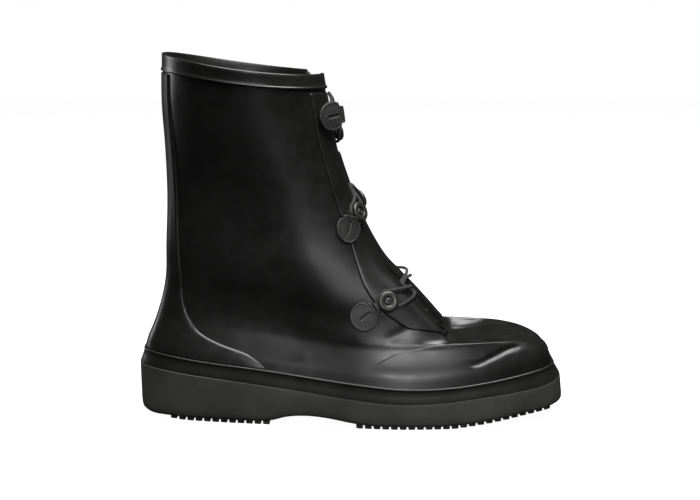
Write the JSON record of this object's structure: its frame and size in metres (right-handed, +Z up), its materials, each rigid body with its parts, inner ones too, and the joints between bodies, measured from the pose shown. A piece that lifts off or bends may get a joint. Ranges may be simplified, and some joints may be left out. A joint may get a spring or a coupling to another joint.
{
  "type": "rubber overboot",
  "caption": "Black moulded rubber overboot with a lugged sole, a tall shaft and a bellows front opening closed by elastic loops hooked over round buttons, each with a pull tab.",
  "frame": {"origin": "on the floor, under the middle of the boot's bounding box", "axes": "+X from heel to toe, +Z up along the shaft, -Y towards the side with the pull tabs"},
  "size_m": [0.3263, 0.1166, 0.2777],
  "materials": {
    "sole": "matte, slightly grained moulding",
    "upper": "satin with broad soft highlights",
    "trim": "satin",
    "lining": "matt knitted lining",
    "button": "satin moulded",
    "rivet": "black, satin",
    "cord": "satin elastic",
    "tab": "fine leather-like grain"
  },
  "bodies": {
    "upper": {"outsole": "sole", "forefoot_tread": "sole", "heel_tread": "sole", "insole": "lining", "foxing_band": "trim", "vamp": "upper", "near_quarter": "upper", "far_quarter": "upper", "heel_counter": "trim", "gusset": "upper", "top_binding": "trim", "far_facing": "trim", "far_button_1": "button", "far_button_2": "button", "far_button_3": "button", "far_rivet_1": "rivet", "far_rivet_2": "rivet", "far_rivet_3": "rivet", "far_washer_1": "button", "far_washer_2": "button", "far_washer_3": "button", "far_loop_1": "cord", "far_loop_2": "cord", "far_loop_3": "cord"},
    "near_flap": {"near_flap": "upper", "near_facing": "trim", "flap_binding": "trim", "near_button_1": "button", "near_button_2": "button", "near_button_3": "button", "near_rivet_1": "rivet", "near_rivet_2": "rivet", "near_rivet_3": "rivet", "near_washer_1": "button", "near_washer_2": "button", "near_washer_3": "button"},
    "loop_1": {"near_loop_1": "cord"},
    "loop_2": {"near_loop_2": "cord"},
    "loop_3": {"near_loop_3": "cord"},
    "tab_1": {"tab_1": "tab"},
    "tab_2": {"tab_2": "tab"},
    "tab_3": {"tab_3": "tab"}
  },
  "joints": [
    {"name": "flap_open", "type": "hinge", "parent": "upper", "child": "near_flap", "pos_m": [0.012, -0.055, 0.052], "axis": [0.3617, -0.0043, -0.9323], "range_deg": [0, 24], "stiffness_Nm_per_rad": 0.6, "deforming": ["gusset", "far_loop_1", "far_loop_2", "far_loop_3"]},
    {"name": "loop_swing_1", "type": "hinge", "parent": "near_flap", "child": "loop_1", "pos_m": [0.03849, -0.04232, 0.10288], "axis": [-0.4958, 0.108, 0.8617], "range_deg": [0, 100], "stiffness_Nm_per_rad": 0.02, "deforming": ["near_loop_1"]},
    {"name": "loop_swing_2", "type": "hinge", "parent": "near_flap", "child": "loop_2", "pos_m": [0.01091, -0.02035, 0.163], "axis": [-0.3608, 0.0591, 0.9308], "range_deg": [0, 100], "stiffness_Nm_per_rad": 0.02, "deforming": ["near_loop_2"]},
    {"name": "loop_swing_3", "type": "hinge", "parent": "near_flap", "child": "loop_3", "pos_m": [-0.01379, -0.00115, 0.23154], "axis": [-0.1759, 0.0361, 0.9837], "range_deg": [0, 100], "stiffness_Nm_per_rad": 0.02, "deforming": ["near_loop_3"]},
    {"name": "tab_lift_1", "type": "hinge", "parent": "loop_1", "child": "tab_1", "pos_m": [0.0167, -0.04996, 0.0913], "axis": [-0.6019, 0.1013, 0.7921], "range_deg": [0, 70], "stiffness_Nm_per_rad": 0.004},
    {"name": "tab_lift_2", "type": "hinge", "parent": "loop_2", "child": "tab_2", "pos_m": [-0.00074, -0.04574, 0.16009], "axis": [-0.7845, -0.5628, 0.2606], "range_deg": [0, 60], "stiffness_Nm_per_rad": 0.004},
    {"name": "tab_lift_3", "type": "hinge", "parent": "loop_3", "child": "tab_3", "pos_m": [-0.00614, -0.0317, 0.23403], "axis": [-0.1384, -0.0795, 0.9872], "range_deg": [0, 70], "stiffness_Nm_per_rad": 0.004}
  ]
}
